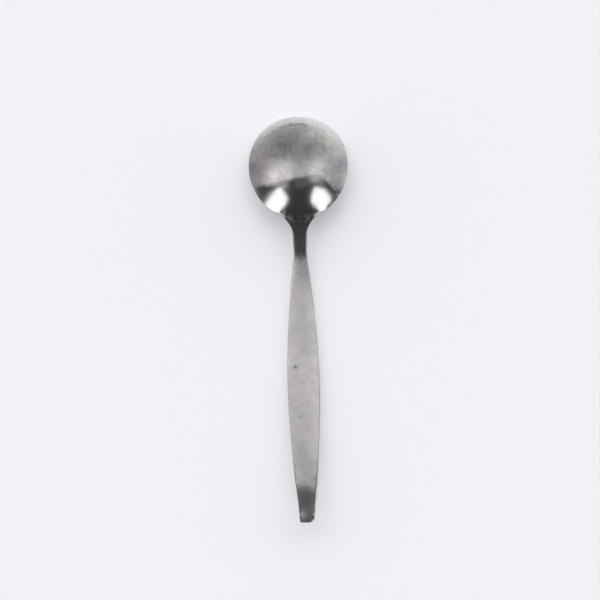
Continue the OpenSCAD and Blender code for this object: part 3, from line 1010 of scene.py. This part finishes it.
# Metres and degrees. A light's direction is an azimuth from +X and an elevation.
stage = {
    "floor": "#f2f3f7",
    "floorSize": 4,
    # light on the floor: a soft lamp overhead, towards the handle, and a sky that is brightest
    # low down ahead of the bowl
    "lampDirection": (267, 70),
    "lampAngle": 19,
    "lampStrength": 1.1,
    "skyLight": (97, -53.3, 88, 54, 2.07),  # direction, even core, soft border and strength
    # what the metal mirrors: a dark room with soft lights, listed as the sky's light is
    "roomDark": 0.125,
    "roomDarker": 0.06,     # towards the handle
    "roomSpan": (0.2, -0.5),  # Y of a direction where it begins to darken, and where it is darkest
    "softLights": {
        "left": (176, 52, 2, 26, 2.5),
        "right": (15, 57, 1, 21, 3.2),
        "overhead": (-32, 87, 1, 21, 0.45),
    },
    # bright strip low at the horizon, strongest at this azimuth and gone towards the handle;
    # its low, high and rear are parts of a direction of length 1, and its reach is a cosine
    "stripAzimuth": 41,
    "stripStrength": 2.4,
    "stripLow": 0.12,
    "stripHigh": 0.22,
    "stripReach": -0.47,
    "stripRear": -0.45,
    # glowing cards that the heel mirrors: directions from the heel to their corners
    "heelPlace": (0, 0.054, 0.009),
    "cardStrength": 2.2,
    "cardDistance": 1.1,
    "cards": {
        "leftLightCard": [
            (-0.614, -0.299, 0.730), (-0.364, -0.620, 0.695), (-0.500, -0.865, 0.03), (-0.850, -0.526, 0.03)],
        "rightLightCard": [
            (0.55, -0.34, 0.762), (0.777, -0.378, 0.503), (0.857, -0.47, 0.212), (0.722, -0.65, 0.235),
            (0.62, -0.775, 0.1), (0.515, -0.858, 0.03), (0.388, -0.645, 0.66)],
    },
}


def addFloor():
    # plain matt paper: no gloss of its own
    mesh = bpy.data.meshes.new("floor")
    half = stage["floorSize"] / 2
    corners = [(-half, -half, 0), (half, -half, 0), (half, half, 0), (-half, half, 0)]
    mesh.from_pydata(corners, [], [(0, 1, 2, 3)])
    floor = bpy.data.objects.new("floor", mesh)
    scene.collection.objects.link(floor)
    paper = bpy.data.materials.new("mattPaper")
    paper.use_nodes = True
    paper.node_tree.nodes.clear()
    shader = addNode(paper.node_tree, "ShaderNodeBsdfDiffuse", {"Color": linearColour(stage["floor"])})
    addNode(paper.node_tree, "ShaderNodeOutputMaterial", {"Surface": shader.outputs[0]})
    mesh.materials.append(paper)


def towards(azimuth, elevation):
    turn, rise = math.radians(azimuth), math.radians(elevation)
    return (math.cos(rise) * math.cos(turn), math.cos(rise) * math.sin(turn), math.sin(rise))


def addOverheadLamp():
    # soft lamp, whose shadow the floor shows
    data = bpy.data.lights.new("overheadLamp", "SUN")
    data.angle = math.radians(stage["lampAngle"])
    data.energy = stage["lampStrength"]
    lamp = bpy.data.objects.new("overheadLamp", data)
    lamp.rotation_euler = Vector(towards(*stage["lampDirection"])).to_track_quat("Z", "Y").to_euler()
    lamp.visible_camera = False
    lamp.visible_glossy = False  # the metal mirrors the soft lights of the surroundings instead
    scene.collection.objects.link(lamp)


def addLightCard(name, directions):
    # glowing card that only reflections see
    mesh = bpy.data.meshes.new(name)
    centre = np.array(stage["heelPlace"])
    corners = [tuple(centre + stage["cardDistance"] * np.array(d)) for d in directions]
    mesh.from_pydata(corners, [], [tuple(range(len(corners)))])
    card = bpy.data.objects.new(name, mesh)
    scene.collection.objects.link(card)
    glow = bpy.data.materials.new(name)
    glow.use_nodes = True
    glow.node_tree.nodes.clear()
    emission = addNode(glow.node_tree, "ShaderNodeEmission", {"Strength": stage["cardStrength"]})
    addNode(glow.node_tree, "ShaderNodeOutputMaterial", {"Surface": emission.outputs[0]})
    mesh.materials.append(glow)
    card.visible_camera = False
    card.visible_diffuse = False
    card.visible_shadow = False


def softLight(sky, direction, azimuth, elevation, core, border, strength):
    # even within the core, then falling to nothing over the border
    nearness = addNode(sky, "ShaderNodeVectorMath", {
        0: direction, 1: towards(azimuth, elevation)}, operation="DOT_PRODUCT").outputs["Value"]
    return addNode(sky, "ShaderNodeMapRange", {
        "Value": nearness, 1: math.cos(math.radians(core + border)), 2: math.cos(math.radians(core)),
        4: strength}, interpolation_type="SMOOTHSTEP").outputs[0]


def brightStrip(sky, direction, parts):
    # its strength at each height, less to the sides and none towards the handle
    level = addNode(sky, "ShaderNodeVectorMath", {
        0: direction, 1: (1, 1, 0)}, operation="MULTIPLY").outputs[0]
    level = addNode(sky, "ShaderNodeVectorMath", {0: level}, operation="NORMALIZE").outputs[0]
    nearness = addNode(sky, "ShaderNodeVectorMath", {
        0: level, 1: towards(stage["stripAzimuth"], 0)}, operation="DOT_PRODUCT").outputs["Value"]
    strip = addNode(sky, "ShaderNodeMapRange", {
        "Value": parts["Z"], 1: stage["stripHigh"], 2: stage["stripLow"], 4: stage["stripStrength"]},
        interpolation_type="SMOOTHSTEP").outputs[0]
    for value, start, full in ((nearness, stage["stripReach"], 1), (parts["Y"], stage["stripRear"], 0)):
        share = addNode(sky, "ShaderNodeMapRange", {
            "Value": value, 1: start, 2: full}, interpolation_type="SMOOTHSTEP").outputs[0]
        strip = addNode(sky, "ShaderNodeMath", {0: strip, 1: share}, operation="MULTIPLY").outputs[0]
    return strip


def mirroredRoom(sky, direction):
    # the dark room with its soft lights and the bright strip
    parts = addNode(sky, "ShaderNodeSeparateXYZ", {0: direction}).outputs
    start, full = stage["roomSpan"]
    room = addNode(sky, "ShaderNodeMapRange", {
        "Value": parts["Y"], 1: start, 2: full, 3: stage["roomDark"], 4: stage["roomDarker"]}).outputs[0]
    lights = [softLight(sky, direction, *light) for light in stage["softLights"].values()]
    for light in lights + [brightStrip(sky, direction, parts)]:
        room = addNode(sky, "ShaderNodeMath", {0: room, 1: light}, operation="ADD").outputs[0]
    return room


def addSurroundings():
    # pale to the camera, a sky for the floor, and the room with its lights for the metal
    world = bpy.data.worlds.new("studio")
    scene.world = world
    world.use_nodes = True
    sky = world.node_tree
    sky.nodes.clear()
    direction = addNode(sky, "ShaderNodeTexCoord").outputs["Generated"]
    rays = addNode(sky, "ShaderNodeLightPath").outputs
    lit = addNode(sky, "ShaderNodeMix", {
        0: rays["Is Glossy Ray"], 2: softLight(sky, direction, *stage["skyLight"]),
        3: mirroredRoom(sky, direction)}, data_type="FLOAT").outputs[0]
    litSky = addNode(sky, "ShaderNodeBackground", {"Color": (1, 1, 1, 1), "Strength": lit})
    paleSky = addNode(sky, "ShaderNodeBackground", {"Color": linearColour(stage["floor"]), "Strength": 1.0})
    shownSky = addNode(sky, "ShaderNodeMixShader", {
        0: rays["Is Camera Ray"], 1: litSky.outputs[0], 2: paleSky.outputs[0]})
    addNode(sky, "ShaderNodeOutputWorld", {"Surface": shownSky.outputs[0]})


print("stage: floor, lights and camera")
addFloor()
addOverheadLamp()
for name, directions in stage["cards"].items():
    addLightCard(name, directions)
addSurroundings()

cameraView = {
    "lens": 200,            # lens and sensor in millimetres
    "sensor": 36,
    "fieldWidth": 0.2595,   # metres of table across the picture
    "aim": (-0.00065, 0.00833, 0.003),
    "turn": -1.5,           # degrees
}
cameraData = bpy.data.cameras.new("camera")
cameraData.lens = cameraView["lens"]
cameraData.sensor_width = cameraView["sensor"]
camera = bpy.data.objects.new("camera", cameraData)
aimX, aimY, aimZ = cameraView["aim"]
camera.location = (aimX, aimY, aimZ + cameraView["fieldWidth"] * cameraView["lens"] / cameraView["sensor"])
camera.rotation_euler = (0, 0, math.radians(cameraView["turn"]))
scene.collection.objects.link(camera)
scene.camera = camera

bpy.context.view_layer.update()
